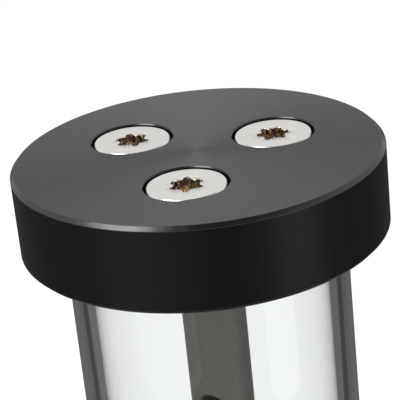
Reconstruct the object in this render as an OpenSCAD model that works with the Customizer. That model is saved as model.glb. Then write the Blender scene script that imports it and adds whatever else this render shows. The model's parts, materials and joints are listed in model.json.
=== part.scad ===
// Coolant pump reservoir: a glass tube is clamped between a turned cap and a
// machined base by a steel riser, and a canned-rotor pump hangs under the base.
// Millimetres, +Z up. The origin is the centre of the plane the feet stand on.

/* [Body] */
// Height of the glass that shows between the base and the cap
glass_visible = 144; // [80:1:240]
// Chamfer on the turned outer edges, measured across the face
edge_chamfer = 0.8; // [0.4:0.1:1.2]
// Chamfer on the turned outer edges, measured down the side
edge_chamfer_drop = 0.9; // [0.4:0.1:1.2]

/* [Top cap] */
// Height of the cap
cap_h = 20; // [19:0.5:26]
// Chamfer round the lower edge of the cap
cap_foot_chamfer = 1; // [0.4:0.1:1.6]
// Depth of the groove that takes the top end of the glass
cap_groove_depth = 9; // [8:0.5:10]
// Depth of the ring-shaped recess that the filling ports open into
cap_recess_depth = 7.5; // [6:0.5:8]
// Depth of the socket that takes the top end of the riser
cap_socket_depth = 12; // [10:0.5:15]

/* [Filling ports and plugs] */
// Diameter of the circle that the three ports lie on
port_pcd = 38; // [37:0.5:39]
// Direction of the right-hand port, counter-clockwise from +X
port_angle = 30; // [0:5:60]
// Diameter of the head of a plug
plug_head_d = 18; // [16.5:0.5:18.5]
// Height of the head of a plug
plug_head_h = 3.2; // [2.6:0.1:4]
// Depth of a plug's face below the face of the cap
plug_inset = 0.3; // [0:0.1:0.8]
// Gap round the head of a plug in its counterbore
plug_head_gap = 0.5; // [0.3:0.1:0.8]
// Length of the threaded shank of a plug
plug_shank_l = 7.2; // [5:0.2:7.4]
// Chamfer round the face of a plug
plug_chamfer = 0.35; // [0.2:0.05:0.6]
// Width of the six-lobed socket across its lobes
lobe_d = 7.8; // [6.6:0.1:8.4]
// Width of the six-lobed socket across its flutes
flute_d = 5.7; // [5:0.1:6.2]
// Depth of the six-lobed socket
socket_depth = 4.5; // [3:0.5:7]
// Chamfer round the rim of each counterbore
rim_chamfer = 0.25; // [0.1:0.05:0.5]
// Thickness of the sealing ring under a plug
plug_seal_t = 1; // [0.8:0.1:1.4]
// Width of the sealing ring under a plug
plug_seal_w = 2; // [1.4:0.1:2.2]

/* [Glass tube] */
// Outer diameter of the glass
glass_d = 65; // [64:0.5:68]
// Wall of the glass
glass_wall = 5; // [4:0.25:5.5]
// Thickness of the flat gasket at each end of the glass
gasket_t = 1; // [0.5:0.1:1.5]
// Cord thickness of the two O-rings that seal the bore of the glass
glass_seal_d = 2; // [1.6:0.1:2.4]

/* [Riser] */
// Outer diameter of the riser
riser_d = 15; // [14:0.5:16]
// Wall of the riser
riser_wall = 1.5; // [1:0.1:2]
// Diameter of the outflow hole across the riser
outflow_d = 7; // [5:0.5:8]
// Depth of the outflow hole's centre below the face of the cap
outflow_drop = 62.5; // [35:0.5:70]
// Direction that the outflow hole faces, counter-clockwise from +X
outflow_angle = 255; // [0:5:360]
// Height between the return channel and the end of the riser
riser_stop = 0.5; // [0.3:0.1:2]
// Cord thickness of the two O-rings round the riser
riser_seal_d = 1.5; // [1.2:0.1:1.8]

/* [Base] */
// Depth of the groove that takes the bottom end of the glass
base_groove_depth = 11; // [8:0.5:14]
// Thickness between the inlet port and the glass groove
groove_floor_t = 3.9; // [3:0.1:8]
// Wall between the glass groove and the bowl
spigot_wall = 5.2; // [4.6:0.2:6]
// Thickness of the web between the bowl and the pump chamber
web_t = 4; // [3:0.5:7]
// Diameter of the intake eye in the web
intake_d = 16; // [12:0.5:18]
// Height of the gap between the web and the hub
intake_gap = 6; // [4:0.5:10]
// Wall of the hub round the riser
hub_wall = 3.5; // [3:0.1:3.8]
// Depth of the hub's socket for the riser
hub_socket_depth = 9; // [8:0.5:14]
// Width of the two plain arms that hold the hub
arm_w = 6; // [4:0.5:9]
// Wall of the third arm on each side of the return channel
channel_wall = 2.5; // [2:0.5:4]

/* [Coolant ports] */
// Diameter of the threaded ports, for a G1/4 fitting
port_d = 13.2; // [12.6:0.1:13.4]
// Depth of the threaded bore of the two side ports
port_depth = 11; // [8:0.5:12]
// Diameter of the flat seat cut round each side port
seat_d = 21; // [19:0.5:22]
// Depth of that seat, where the round side stands proudest
seat_depth = 2.5; // [2:0.1:3]
// Chamfer at the mouth of each side port
port_chamfer = 0.6; // [0.3:0.1:1]
// Diameter of the drilled channels behind the side ports
channel_d = 8; // [6:0.5:9]
// Height of the outlet port's centre above the lower edge of the base's side
outlet_rise = 12.5; // [11.5:0.5:14]
// Rise of the outlet channel's centre above the middle of the pump chamber
outlet_channel_rise = 5; // [4:0.1:5.5]
// Length of the outlet channel that lies inside its port
channel_overlap = 3; // [1:0.5:5]
// Distance of the outlet channel inside the chamber's widest radius
channel_inset = 0.8; // [0:0.1:2]

/* [Pump chamber] */
// Radius of the spiral chamber where it starts
volute_start_r = 19.8; // [19.2:0.2:21]
// Growth of that radius over one turn
volute_growth = 3.6; // [2:0.2:4.4]
// Height of the chamber
volute_h = 14; // [13:0.5:17]
// Gap between the chamber's floor and the separator
wet_gap = 1; // [0.6:0.1:1.6]

/* [Pump housing] */
// Diameter of the pump housing
housing_d = 57; // [56.5:0.5:59]
// Wall of the pump housing
housing_wall = 2.4; // [2:0.1:2.8]
// Gap between the control board and the separator's cup
board_gap = 2.4; // [1:0.1:5]
// Width of the pump's flange past the housing
flange_lip = 2; // [1.6:0.1:3]
// Gap round the flange in its pocket under the base
pocket_gap = 0.5; // [0.2:0.1:1]
// Thickness of the housing's flange
flange_t = 3; // [2.5:0.5:4]
// Height of the flange that lies inside the base
flange_inset = 1; // [0.6:0.1:1.8]
// Thickness of the back cover
cover_t = 3; // [2.8:0.1:4]
// Gap between the shroud's floor and the back cover
cover_gap = 1; // [0.5:0.1:3]
// Diameter of the back cover screws
cover_screw_d = 2.4; // [2:0.1:2.6]
// Diameter of the posts that the cover screws go into
post_d = 6; // [5.4:0.2:6.6]
// Height of those posts
post_h = 4; // [3.8:0.2:5]
// Thickness of the clamp ring under the flange
clamp_t = 5; // [4:0.5:7]
// Diameter of the clamp ring screws
clamp_screw_d = 4; // [3:0.5:4.5]
// Gap each side of the heads of the clamp screws
clamp_head_gap = 0.35; // [0.2:0.05:1]
// Depth that the clamp screws reach into the base
clamp_screw_grip = 8; // [6:0.5:10]
// Number of clamp ring screws
clamp_screw_count = 6; // [4:2:6]
// Width of the pump's seal
pump_seal_w = 2; // [1.6:0.1:2.4]
// Height of the pump's seal
pump_seal_h = 1.6; // [1.4:0.1:2]

/* [Separator and rotor] */
// Thickness of the separator's flange
separator_flange_t = 2; // [1.5:0.1:3]
// Inner diameter of the separator's cup
separator_bore = 24; // [23:0.5:25]
// Wall of the separator's cup
separator_wall = 1; // [0.8:0.1:1.4]
// Depth of the separator's cup
separator_depth = 24; // [22:0.5:25]
// Diameter of the rotor's shaft
shaft_d = 3; // [2.5:0.5:4]
// Height of the boss that holds the shaft
shaft_boss_h = 3; // [2:0.5:4]
// Gap between the magnet and the separator's cup
magnet_gap = 0.8; // [0.5:0.1:1.2]
// Wall of the rotor's bearing bush
bush_wall = 2; // [1.5:0.1:2.5]
// Gap under the bearing bush
bush_gap = 0.3; // [0.1:0.1:1]
// Thickness of the thrust washer at the top of the shaft
washer_t = 1; // [0.6:0.1:1.5]

/* [Impeller] */
// Diameter of the impeller
impeller_d = 36; // [32:0.5:37]
// Number of impeller vanes
vane_count = 6; // [4:1:7]
// Thickness of a vane
vane_t = 1.4; // [1:0.1:2]
// Height of the passage between the impeller's discs
vane_h = 6.5; // [5:0.5:7.5]
// Thickness of the impeller's two discs
disc_t = 1.3; // [1:0.1:1.6]
// Rise of the impeller above the separator
impeller_rise = 2.6; // [1.5:0.1:3]
// Diameter of the impeller's hub
impeller_hub_d = 11; // [9.5:0.5:12]
// Height of the tapered part of the hub
hub_rise = 2; // [1:0.1:3]
// Wall at the top of that taper
hub_rim = 1; // [0.6:0.1:1.4]
// Depth of the magnet's top below the separator's flange
magnet_inset = 1.5; // [1:0.1:3]
// Gap between the tips of the vanes and the discs' edge
vane_setback = 0.4; // [0.2:0.1:1]
// Gap between the hub and the inner ends of the vanes
vane_gap = 1.5; // [1:0.1:2.5]

/* [Stator and electronics] */
// Height of the stator's core
core_h = 16; // [12:0.5:18]
// Radial thickness of the core's outer ring
yoke_t = 3.5; // [3:0.5:4]
// Number of stator teeth
tooth_count = 6; // [3:1:8]
// Width of a tooth
tooth_w = 5; // [4:0.5:5.5]
// Thickness of a winding on each side of its tooth
winding_t = 1.8; // [1:0.1:2]
// Thickness of the control board
board_t = 1.6; // [1:0.2:2]
// Thickness of the ledge that the core bears against
ledge_t = 2.5; // [2:0.1:3]

/* [Speed dial] */
// Diameter of the dial's head
dial_d = 14; // [10:0.5:18]
// Thickness of the dial's head
dial_t = 1.3; // [1:0.1:1.4]
// Diameter of the dial's spindle
dial_spindle_d = 5; // [4:0.5:6]
// Width of the slot in the dial
dial_slot_w = 1.2; // [0.8:0.1:1.6]
// Depth of the slot in the dial
dial_slot_depth = 0.7; // [0.4:0.1:0.8]
// Side of the potentiometer's square body
trimmer_w = 11; // [9:0.5:13]
// Height of the potentiometer's body
trimmer_h = 3; // [2.5:0.1:3.4]

/* [Pump shroud] */
// Wall of the shroud
shroud_wall = 4; // [3.6:0.1:4.4]
// Thickness of the shroud's floor
floor_t = 4; // [3:0.5:6]
// Diameter of the opening under the speed dial
floor_hole_d = 50; // [44:1:52]
// Height of the base's spigot inside the shroud
spigot_h = 6; // [5.4:0.1:8]
// Number of places for an air slot round the shroud
slot_count = 30; // [20:2:36]
// Width of an air slot
slot_w = 3; // [2:0.5:3.5]
// Height of an air slot
slot_h = 22; // [12:1:24]
// Height of the slots' centres above the shroud's floor
slot_rise = 19; // [17:1:20]
// Part of the shroud left plain on each side of the cable exit, in degrees
plain_span = 16; // [13:1:40]
// Diameter of the shroud's screws
shroud_screw_d = 3; // [2.5:0.5:3]
// Length of the shroud's screws
shroud_screw_l = 8; // [6:0.5:9]
// Depth of the shroud screws' faces below the side
screw_sink = 0.2; // [0.1:0.1:0.6]
// Diameter of the cable hole in the gland and the grommet
cable_hole_d = 4; // [3:0.5:4.5]
// Diameter of the gland's sleeve
gland_d = 6.6; // [6:0.1:6.8]
// Length of the gland's sleeve outside the housing
gland_nose_l = 4.5; // [3:0.5:6]
// Width of the gland's collar
gland_lip = 1.5; // [1:0.1:2]
// Thickness of the gland's collar
gland_lip_t = 1.9; // [1:0.1:2.5]
// Wall of the grommet in the shroud
grommet_wall = 1.6; // [1.2:0.1:2]
// Width of the grommet's lips
grommet_lip = 1.2; // [0.8:0.1:1.6]
// Thickness of the grommet's lips
lip_t = 1; // [0.8:0.1:1.2]

/* [Feet and mounting] */
// Height of the rubber feet
foot_h = 2; // [1:0.5:6]
// Diameter of the rubber feet
foot_d = 11; // [8:0.5:12]
// Distance of the rubber feet from the shroud's side
foot_edge = 4; // [3:0.5:5]
// Diameter of the stems that hold the feet
foot_stem_d = 5; // [4:0.5:6]
// Diameter of the circle of mounting holes under the shroud
mount_pcd = 60; // [58:0.5:66]
// Diameter of the mounting holes, for M4 screws
mount_hole_d = 4.2; // [3.2:0.1:4.4]

/* [Fits] */
// Radial gap between screws or pins and their holes
screw_gap = 0.05; // [0.03:0.01:0.1]
// Radial gap round pieces that are pushed together
push_gap = 0.1; // [0.05:0.05:0.2]
// Length of socket or spigot past the O-ring nearest its mouth
seal_setback = 2.5; // [2:0.1:3]
// Gap each side of a sealing ring
seal_gap = 0.05; // [0.02:0.01:0.1]
// Radial gap of the plugs' threads
thread_gap = 0.08; // [0.04:0.01:0.1]
// Radial gap between the glass and its grooves
glass_gap = 0.3; // [0.1:0.1:0.5]
// Radial gap of the turning shafts
running_gap = 0.05; // [0.03:0.01:0.1]

/* [Hidden] */
$fn = 96;
// Overlap of a cut past the face that it opens through
cut = 1;

// Radii, from the pump out to the body
housing_r = housing_d / 2;
flange_r = housing_r + flange_lip;
flange_pocket_r = flange_r + pocket_gap;
clamp_head_r = clamp_screw_d * 0.85;
clamp_screw_circle_r = flange_pocket_r + clamp_head_gap + clamp_head_r;
shroud_r = clamp_screw_circle_r + clamp_head_r + clamp_head_gap;
body_r = shroud_r + shroud_wall;
glass_r = glass_d / 2;
glass_bore_r = glass_r - glass_wall;
spigot_r = glass_bore_r - glass_gap;
groove_r = glass_r + glass_gap;
bowl_r = spigot_r - spigot_wall;
riser_r = riser_d / 2;
riser_socket_r = riser_r + screw_gap;
hub_r = riser_r + hub_wall;
port_r = port_d / 2;
channel_r = channel_d / 2;
stator_r = housing_r - housing_wall - push_gap;
cup_r = separator_bore / 2 + separator_wall;
foot_circle_r = body_r - foot_edge - foot_d / 2;
post_circle_r = housing_r - housing_wall - post_d / 2 + push_gap;
seat_x = body_r - seat_depth;

// Heights, from the floor up
floor_z = foot_h;
cover_z = floor_z + floor_t + cover_gap;
housing_z = cover_z + cover_t;
board_z = housing_z + post_h;
board_top_z = board_z + board_t;
cup_floor_z = board_top_z + board_gap + separator_wall;
flange_z = cup_floor_z + separator_depth - separator_flange_t - flange_t;
separator_z = flange_z + flange_t;
wet_z = separator_z + separator_flange_t;
base_z = separator_z - flange_inset;
side_z = base_z + spigot_h;
volute_z = wet_z + wet_gap;
volute_top_z = volute_z + volute_h;
bowl_z = volute_top_z + web_t;
hub_z = bowl_z + intake_gap;
inlet_z = hub_z + channel_wall + channel_r;
riser_z = inlet_z + channel_r + riser_stop;
hub_top_z = riser_z + hub_socket_depth;
base_groove_z = inlet_z + port_r + groove_floor_t;
base_top_z = base_groove_z + base_groove_depth;
cap_z = base_top_z + glass_visible;
cap_groove_z = cap_z + cap_groove_depth;
recess_z = cap_z + cap_recess_depth;
riser_top_z = cap_z + cap_socket_depth;
top_z = cap_z + cap_h;
outlet_z = side_z + outlet_rise;
outlet_channel_z = volute_z + volute_h / 2 + outlet_channel_rise;
plug_face_z = top_z - plug_inset;
plug_head_z = plug_face_z - plug_head_h;
counterbore_z = plug_head_z - plug_seal_t - 2 * seal_gap;
core_top_z = separator_z - ledge_t;
core_z = core_top_z - core_h;
cable_z = (board_top_z + core_z) / 2;

// Seals: the groove is a little deeper and taller than the cord
base_seal_z = base_top_z - base_groove_depth / 2;
cap_seal_z = cap_z + seal_setback + cap_foot_chamfer;
lower_seal_z = hub_top_z - seal_setback;
upper_seal_z = cap_z + seal_setback;

// Directions
port_left_angle = port_angle + 120;
port_front_angle = port_angle + 240;
cable_angle = 90;
quarter_angles = [for (i = [0:3]) 45 + 90 * i];
mount_angles = [for (i = [0:3]) 90 * i];
clamp_angles = [for (i = [0:clamp_screw_count - 1]) 30 + 360 / clamp_screw_count * i];

// ---- Shared shapes ----

// A ring or tube standing on z
module ring(outer_r, inner_r, z, h) {
    translate([0, 0, z])
        difference() {
            cylinder(r = outer_r, h = h);
            translate([0, 0, -cut]) cylinder(r = inner_r, h = h + 2 * cut);
        }
}

// A plain round bar standing on z
module bar(r, z, h) {
    translate([0, 0, z]) cylinder(r = r, h = h);
}

// An O-ring whose cord is centred at radius r and height z
module o_ring(r, z, cord_d) {
    translate([0, 0, z])
        rotate_extrude()
            translate([r, 0]) circle(d = cord_d, $fn = 32);
}

// Puts its children at radius r in each direction
module around(angles, r) {
    for (a = angles)
        rotate([0, 0, a]) translate([r, 0, 0]) children();
}

// A round bar lying along direction a, from radius r0 to r1 at height z
module radial_bar(r, a, r0, r1, z) {
    rotate([0, 0, a])
        translate([r0, 0, z])
            rotate([0, 90, 0]) cylinder(r = r, h = r1 - r0);
}

// A turned drum with chamfered edges
module drum(r, z, h, top_in, top_down, foot) {
    translate([0, 0, z])
        rotate_extrude()
            polygon([[0, 0], [r - foot, 0], [r, foot], [r, h - top_down], [r - top_in, h], [0, h]]);
}

// The groove of an O-ring round a spigot inside the glass
module glass_seal_groove(z) {
    ring(spigot_r + cut, glass_bore_r - glass_seal_d - seal_gap, z - glass_seal_d * 0.7, glass_seal_d * 1.4);
}

// The groove of an O-ring inside a socket of the riser
module riser_seal_groove(z) {
    bar(riser_socket_r + riser_seal_d, z - riser_seal_d * 0.7, riser_seal_d * 1.4);
}

// ---- Top cap and its ports ----

module port_cut() {
    head_r = plug_head_d / 2 + plug_head_gap;
    bar(head_r, counterbore_z, top_z - counterbore_z + cut);
    bar(port_r, recess_z - 0.01, counterbore_z - recess_z + cut);
    translate([0, 0, top_z - rim_chamfer])
        cylinder(r1 = head_r, r2 = head_r + 2 * rim_chamfer, h = 2 * rim_chamfer);
}

module top_cap() {
    color("#1c1c1d")
        difference() {
            drum(body_r, cap_z, cap_h, edge_chamfer, edge_chamfer_drop, cap_foot_chamfer);
            ring(groove_r, spigot_r, cap_z - cut, cap_groove_depth + cut);
            ring(bowl_r, hub_r, cap_z - cut, cap_recess_depth + cut);
            glass_seal_groove(cap_seal_z);
            bar(riser_socket_r, cap_z - cut, cap_socket_depth + cut);
            riser_seal_groove(upper_seal_z);
            around([port_angle, port_left_angle, port_front_angle], port_pcd / 2) port_cut();
        }
}

// Outline of the six-lobed socket
module lobed_outline() {
    flute_r = lobe_d * 0.24;
    difference() {
        circle(d = lobe_d);
        for (i = [0:5])
            rotate(30 + 60 * i)
                translate([flute_d / 2 + flute_r, 0]) circle(r = flute_r, $fn = 48);
    }
}

// A flush plug with a short shank. The socket is turned by spin.
module port_plug(angle, spin) {
    head_r = plug_head_d / 2;
    shank_r = port_r - thread_gap;
    shank_z = counterbore_z - plug_shank_l;
    around([angle], port_pcd / 2)
        color("#d9d8d6")
            difference() {
                union() {
                    drum(head_r, plug_head_z, plug_head_h, plug_chamfer, plug_chamfer, plug_chamfer / 2);
                    translate([0, 0, shank_z])
                        cylinder(r1 = shank_r - 0.6, r2 = shank_r, h = 0.6);
                    bar(shank_r, shank_z + 0.6, plug_head_z - shank_z - 0.6 + 0.1);
                }
                translate([0, 0, plug_face_z - socket_depth])
                    linear_extrude(socket_depth + cut) rotate(spin) lobed_outline();
            }
}

module port_plug_left() { port_plug(port_left_angle, 20); }
module port_plug_right() { port_plug(port_angle, 45); }
module port_plug_front() { port_plug(port_front_angle, 5); }

module plug_seal(angle) {
    around([angle], port_pcd / 2)
        color("#151515")
            ring(port_r + seal_gap + plug_seal_w, port_r + seal_gap, counterbore_z + seal_gap, plug_seal_t);
}

module plug_seal_left() { plug_seal(port_left_angle); }
module plug_seal_right() { plug_seal(port_angle); }
module plug_seal_front() { plug_seal(port_front_angle); }

// ---- Glass, its seals and the riser ----

module glass_tube() {
    color("#dfe5e6", 0.35)
        ring(glass_r, glass_bore_r, base_groove_z + gasket_t,
             cap_groove_z - base_groove_z - 2 * gasket_t);
}

module cap_gasket() {
    color("#202020") ring(glass_r, glass_bore_r, cap_groove_z - gasket_t, gasket_t);
}

module base_gasket() {
    color("#202020") ring(glass_r, glass_bore_r, base_groove_z, gasket_t);
}

module glass_seal(z) {
    cord_d = glass_seal_d - seal_gap;
    color("#202020") o_ring(glass_bore_r - seal_gap - cord_d / 2, z, cord_d);
}

module cap_glass_seal() { glass_seal(cap_seal_z); }
module base_glass_seal() { glass_seal(base_seal_z); }

module riser() {
    color("#a8a49e")
        difference() {
            ring(riser_r, riser_r - riser_wall, riser_z, riser_top_z - riser_z);
            radial_bar(outflow_d / 2, outflow_angle, -riser_r - cut, riser_r + cut, top_z - outflow_drop);
        }
}

module riser_seal(z) {
    color("#202020") o_ring(riser_socket_r + riser_seal_d / 2, z, riser_seal_d - seal_gap);
}

module upper_riser_seal() { riser_seal(upper_seal_z); }
module lower_riser_seal() { riser_seal(lower_seal_z); }

// ---- Base ----

// A threaded side port with its flat seat, facing direction a
module side_port_cut(a, z) {
    radial_bar(seat_d / 2, a, seat_x, body_r + cut, z);
    radial_bar(port_r, a, seat_x - port_depth, seat_x + cut, z);
    rotate([0, 0, a])
        translate([seat_x - port_chamfer, 0, z])
            rotate([0, 90, 0])
                cylinder(r1 = port_r, r2 = port_r + 2 * port_chamfer, h = 2 * port_chamfer);
}

// Outline of the pump chamber: a spiral that widens towards the outlet
module volute_outline() {
    steps = 72;
    polygon([for (i = [0:steps - 1])
        let (a = outlet_tangent - 360 * i / steps, r = volute_start_r + volute_growth * (1 - i / steps))
        [r * cos(a), r * sin(a)]]);
}

// The outlet channel leaves the chamber along a tangent
channel_start_x = seat_x - port_depth + channel_overlap;
tangent_r = volute_start_r + volute_growth - channel_r - channel_inset;
tangent_lean = asin(tangent_r / channel_start_x);
outlet_tangent = tangent_lean - 90;
tangent_l = channel_start_x * cos(tangent_lean);

module outlet_cut() {
    side_port_cut(0, outlet_z);
    translate([channel_start_x, 0, outlet_channel_z])
        rotate([0, 0, 180 + tangent_lean])
            rotate([0, 90, 0]) cylinder(r = channel_r, h = tangent_l);
}

module inlet_cut() {
    side_port_cut(180, inlet_z);
    radial_bar(channel_r, 180, 0, seat_x - port_depth + cut, inlet_z);
    bar(riser_r - riser_wall, inlet_z, riser_z - inlet_z + cut);
}

// The hub stands on three arms, one of which holds the return channel
module hub() {
    channel_arm_w = channel_d + 2 * channel_wall;
    arm_top_z = inlet_z + channel_r + channel_wall;
    bar(hub_r, hub_z, hub_top_z - hub_z);
    for (a = [60, -60])
        rotate([0, 0, a])
            translate([0, -arm_w / 2, hub_z]) cube([bowl_r + cut, arm_w, arm_top_z - hub_z]);
    rotate([0, 0, 180])
        translate([0, -channel_arm_w / 2, hub_z]) cube([bowl_r + cut, channel_arm_w, arm_top_z - hub_z]);
}

module base_body() {
    screw_z = side_z - spigot_h / 2;
    color("#1c1c1d")
        difference() {
            union() {
                difference() {
                    union() {
                        drum(body_r, side_z, base_top_z - side_z,
                             edge_chamfer, edge_chamfer_drop, edge_chamfer / 2);
                        bar(shroud_r - push_gap, base_z, spigot_h + cut);
                    }
                    bar(bowl_r, bowl_z, base_top_z - bowl_z + cut);
                }
                hub();
            }
            ring(groove_r, spigot_r, base_groove_z, base_groove_depth + cut);
            glass_seal_groove(base_seal_z);
            bar(riser_socket_r, riser_z, hub_socket_depth + cut);
            riser_seal_groove(lower_seal_z);
            bar(flange_pocket_r, base_z - cut, volute_z - base_z + cut);
            translate([0, 0, volute_z - 0.01]) linear_extrude(volute_h + 0.01) volute_outline();
            bar(intake_d / 2, volute_top_z - cut, web_t + 2 * cut);
            ring(pump_seal_r + pump_seal_w + seal_gap, pump_seal_r - seal_gap,
                 volute_z - 0.01, pump_seal_h - wet_gap + seal_gap);
            outlet_cut();
            inlet_cut();
            around(clamp_angles, clamp_screw_circle_r)
                bar(clamp_screw_d / 2 + screw_gap, base_z - cut, clamp_screw_grip + 2 + cut);
            for (a = quarter_angles)
                radial_bar(shroud_screw_d / 2 + screw_gap, a, body_r - shroud_screw_l - 1, body_r, screw_z);
        }
}

// ---- Pump ----

pump_seal_r = volute_start_r + volute_growth + 2;

module pump_seal() {
    color("#202020") ring(pump_seal_r + pump_seal_w, pump_seal_r, wet_z, pump_seal_h);
}

module clamp_ring() {
    foot_z = flange_z - clamp_t;
    ring_h = base_z - foot_z;
    color("#8f9396")
        difference() {
            ring(shroud_r - 1, housing_r + push_gap, foot_z, ring_h);
            bar(flange_r + push_gap, flange_z, ring_h);
            around(clamp_angles, clamp_screw_circle_r)
                bar(clamp_screw_d / 2 + screw_gap, foot_z - cut, ring_h + 2 * cut);
        }
}

// Socket-head screw pointing up, with the underside of its head at z = 0
module cap_screw(d, grip) {
    difference() {
        union() {
            bar(d / 2, 0, grip);
            bar(clamp_head_r, -d * 0.9, d * 0.9);
        }
        translate([0, 0, -d * 0.9 - cut]) cylinder(d = d * 0.87, h = d * 0.5 + cut, $fn = 6);
    }
}

// Countersunk screw pointing up, with the face of its head at z = 0
module flat_screw(d, length) {
    head_h = d * 0.45;
    difference() {
        union() {
            cylinder(r1 = d * 0.9, r2 = d / 2, h = head_h);
            bar(d / 2, head_h, length - head_h);
        }
        translate([0, 0, -cut]) cylinder(d = d * 0.6, h = head_h * 0.8 + cut, $fn = 6);
    }
}

// The hole that a flat screw sits in
module flat_screw_cut(d, length) {
    head_h = d * 0.45;
    translate([0, 0, -cut]) cylinder(r = d * 0.9 + screw_gap, h = cut);
    cylinder(r1 = d * 0.9 + screw_gap, r2 = d / 2 + screw_gap, h = head_h);
    bar(d / 2 + screw_gap, 0, length);
}

module clamp_screws() {
    color("#b9bbbd")
        around(clamp_angles, clamp_screw_circle_r)
            translate([0, 0, flange_z - clamp_t])
                cap_screw(clamp_screw_d, base_z - flange_z + clamp_t + clamp_screw_grip);
}

module pump_housing() {
    bore_r = housing_r - housing_wall;
    color("#26272a")
        difference() {
            union() {
                bar(housing_r, housing_z, separator_z - housing_z);
                bar(flange_r, flange_z, flange_t);
            }
            difference() {
                bar(bore_r, housing_z - cut, core_top_z - housing_z + cut);
                around(quarter_angles, post_circle_r) bar(post_d / 2, housing_z, post_h);
            }
            bar(bore_r - yoke_t + 0.5, core_top_z - 0.01, separator_z - core_top_z + cut);
            around(quarter_angles, post_circle_r)
                bar(cover_screw_d / 2 + screw_gap, housing_z - cut, post_h + 2 * cut);
            radial_bar(gland_d / 2 + push_gap, cable_angle, bore_r - cut, housing_r + cut, cable_z);
        }
}

module separator_can() {
    bore_r = separator_bore / 2;
    color("#2e2f33")
        difference() {
            union() {
                bar(flange_r, separator_z, separator_flange_t);
                bar(cup_r, cup_floor_z - separator_wall, separator_depth);
            }
            difference() {
                bar(bore_r, cup_floor_z, separator_depth + cut);
                bar(shaft_d / 2 + 2, cup_floor_z, shaft_boss_h);
            }
            bar(shaft_d / 2 + screw_gap, cup_floor_z, shaft_boss_h + cut);
        }
}

// The bush, the magnet and the impeller turn together round the fixed shaft
bush_r = shaft_d / 2 + running_gap + bush_wall;
bush_z = cup_floor_z + shaft_boss_h + bush_gap;
impeller_z = wet_z + impeller_rise;
bush_top_z = impeller_z + disc_t + hub_rise;
magnet_top_z = wet_z - magnet_inset;

module rotor_shaft() {
    color("#e8e6df") bar(shaft_d / 2, cup_floor_z, bush_top_z + bush_gap + washer_t - cup_floor_z);
}

module rotor_bush() {
    color("#3a3a3c") ring(bush_r, shaft_d / 2 + running_gap, bush_z, bush_top_z - bush_z);
}

module rotor_magnet() {
    foot_z = bush_z + magnet_gap;
    color("#55585c") ring(separator_bore / 2 - magnet_gap, bush_r, foot_z, magnet_top_z - foot_z);
}

module thrust_washer() {
    color("#e8e6df")
        ring(bush_r - 0.2, shaft_d / 2 + screw_gap, bush_top_z + bush_gap, washer_t);
}

// One backward-curved vane, cut from a thin ring that is set off the axis
module vane() {
    bend_r = impeller_d * 0.3;
    inner_r = impeller_hub_d / 2 + vane_gap;
    intersection() {
        difference() {
            circle(r = impeller_d / 2 - vane_setback);
            circle(r = inner_r);
        }
        translate([bend_r, -bend_r * 0.35])
            difference() {
                circle(r = bend_r + vane_t / 2);
                circle(r = bend_r - vane_t / 2);
            }
        square([impeller_d, impeller_d]);
    }
}

module impeller() {
    outer_r = impeller_d / 2;
    vane_z = impeller_z + disc_t;
    color("#e2dfd6") {
        difference() {
            union() {
                bar(outer_r, impeller_z, disc_t);
                translate([0, 0, magnet_top_z])
                    cylinder(r = impeller_hub_d / 2, h = impeller_z - magnet_top_z + 0.1);
                translate([0, 0, vane_z - 0.1])
                    cylinder(r1 = impeller_hub_d / 2, r2 = bush_r + hub_rim, h = hub_rise + 0.1);
                for (i = [0:vane_count - 1])
                    rotate([0, 0, 360 * i / vane_count])
                        translate([0, 0, vane_z - 0.1]) linear_extrude(vane_h + 0.2) vane();
                ring(outer_r, intake_d / 2 + 0.5, vane_z + vane_h, disc_t);
            }
            bar(bush_r, magnet_top_z - cut, bush_top_z - magnet_top_z + 2 * cut);
        }
    }
}

// ---- Stator and electronics ----

module stator_core() {
    tooth_l = stator_r - yoke_t / 2 - cup_r - push_gap;
    color("#7b7f84") {
        difference() {
            union() {
                ring(stator_r, stator_r - yoke_t, core_z, core_h);
                for (i = [0:tooth_count - 1])
                    rotate([0, 0, 360 * i / tooth_count])
                        translate([cup_r + push_gap, -tooth_w / 2, core_z]) cube([tooth_l, tooth_w, core_h]);
            }
            bar(cup_r + push_gap, core_z - cut, core_h + 2 * cut);
        }
    }
}

module stator_windings() {
    inner_r = cup_r + 2.5;
    coil_l = stator_r - yoke_t - 0.6 - inner_r;
    wide = tooth_w + 2 * winding_t;
    color("#b4642d")
        for (i = [0:tooth_count - 1])
            rotate([0, 0, 360 * i / tooth_count])
                difference() {
                    translate([inner_r, -wide / 2, core_z - winding_t])
                        cube([coil_l, wide, core_h + 2 * winding_t]);
                    translate([inner_r - cut, -tooth_w / 2 - seal_gap, core_z - seal_gap])
                        cube([coil_l + 2 * cut, tooth_w + 2 * seal_gap, core_h + 2 * seal_gap]);
                }
}

module control_board() {
    color("#1f5a3c") bar(stator_r - push_gap, board_z, board_t);
}

module dial_potentiometer() {
    color("#3d4a63")
        difference() {
            translate([-trimmer_w / 2, -trimmer_w / 2, board_z - trimmer_h])
                cube([trimmer_w, trimmer_w, trimmer_h]);
            bar(dial_spindle_d / 2 + running_gap, board_z - trimmer_h - cut, trimmer_h - 0.4 + cut);
        }
}

// The dial's head lies in a recess of the back cover
dial_pocket_t = dial_t + 0.2;

module speed_dial() {
    head_z = cover_z + 0.1;
    color("#c9342c")
        difference() {
            union() {
                bar(dial_d / 2, head_z, dial_t);
                bar(dial_spindle_d / 2, head_z, board_z - 0.8 - head_z);
            }
            translate([-dial_d * 0.35, -dial_slot_w / 2, head_z - cut])
                cube([dial_d * 0.7, dial_slot_w, dial_slot_depth + cut]);
            translate([dial_d / 2, 0, head_z - cut]) cylinder(r = 0.8, h = dial_t + 2 * cut);
        }
}

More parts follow.
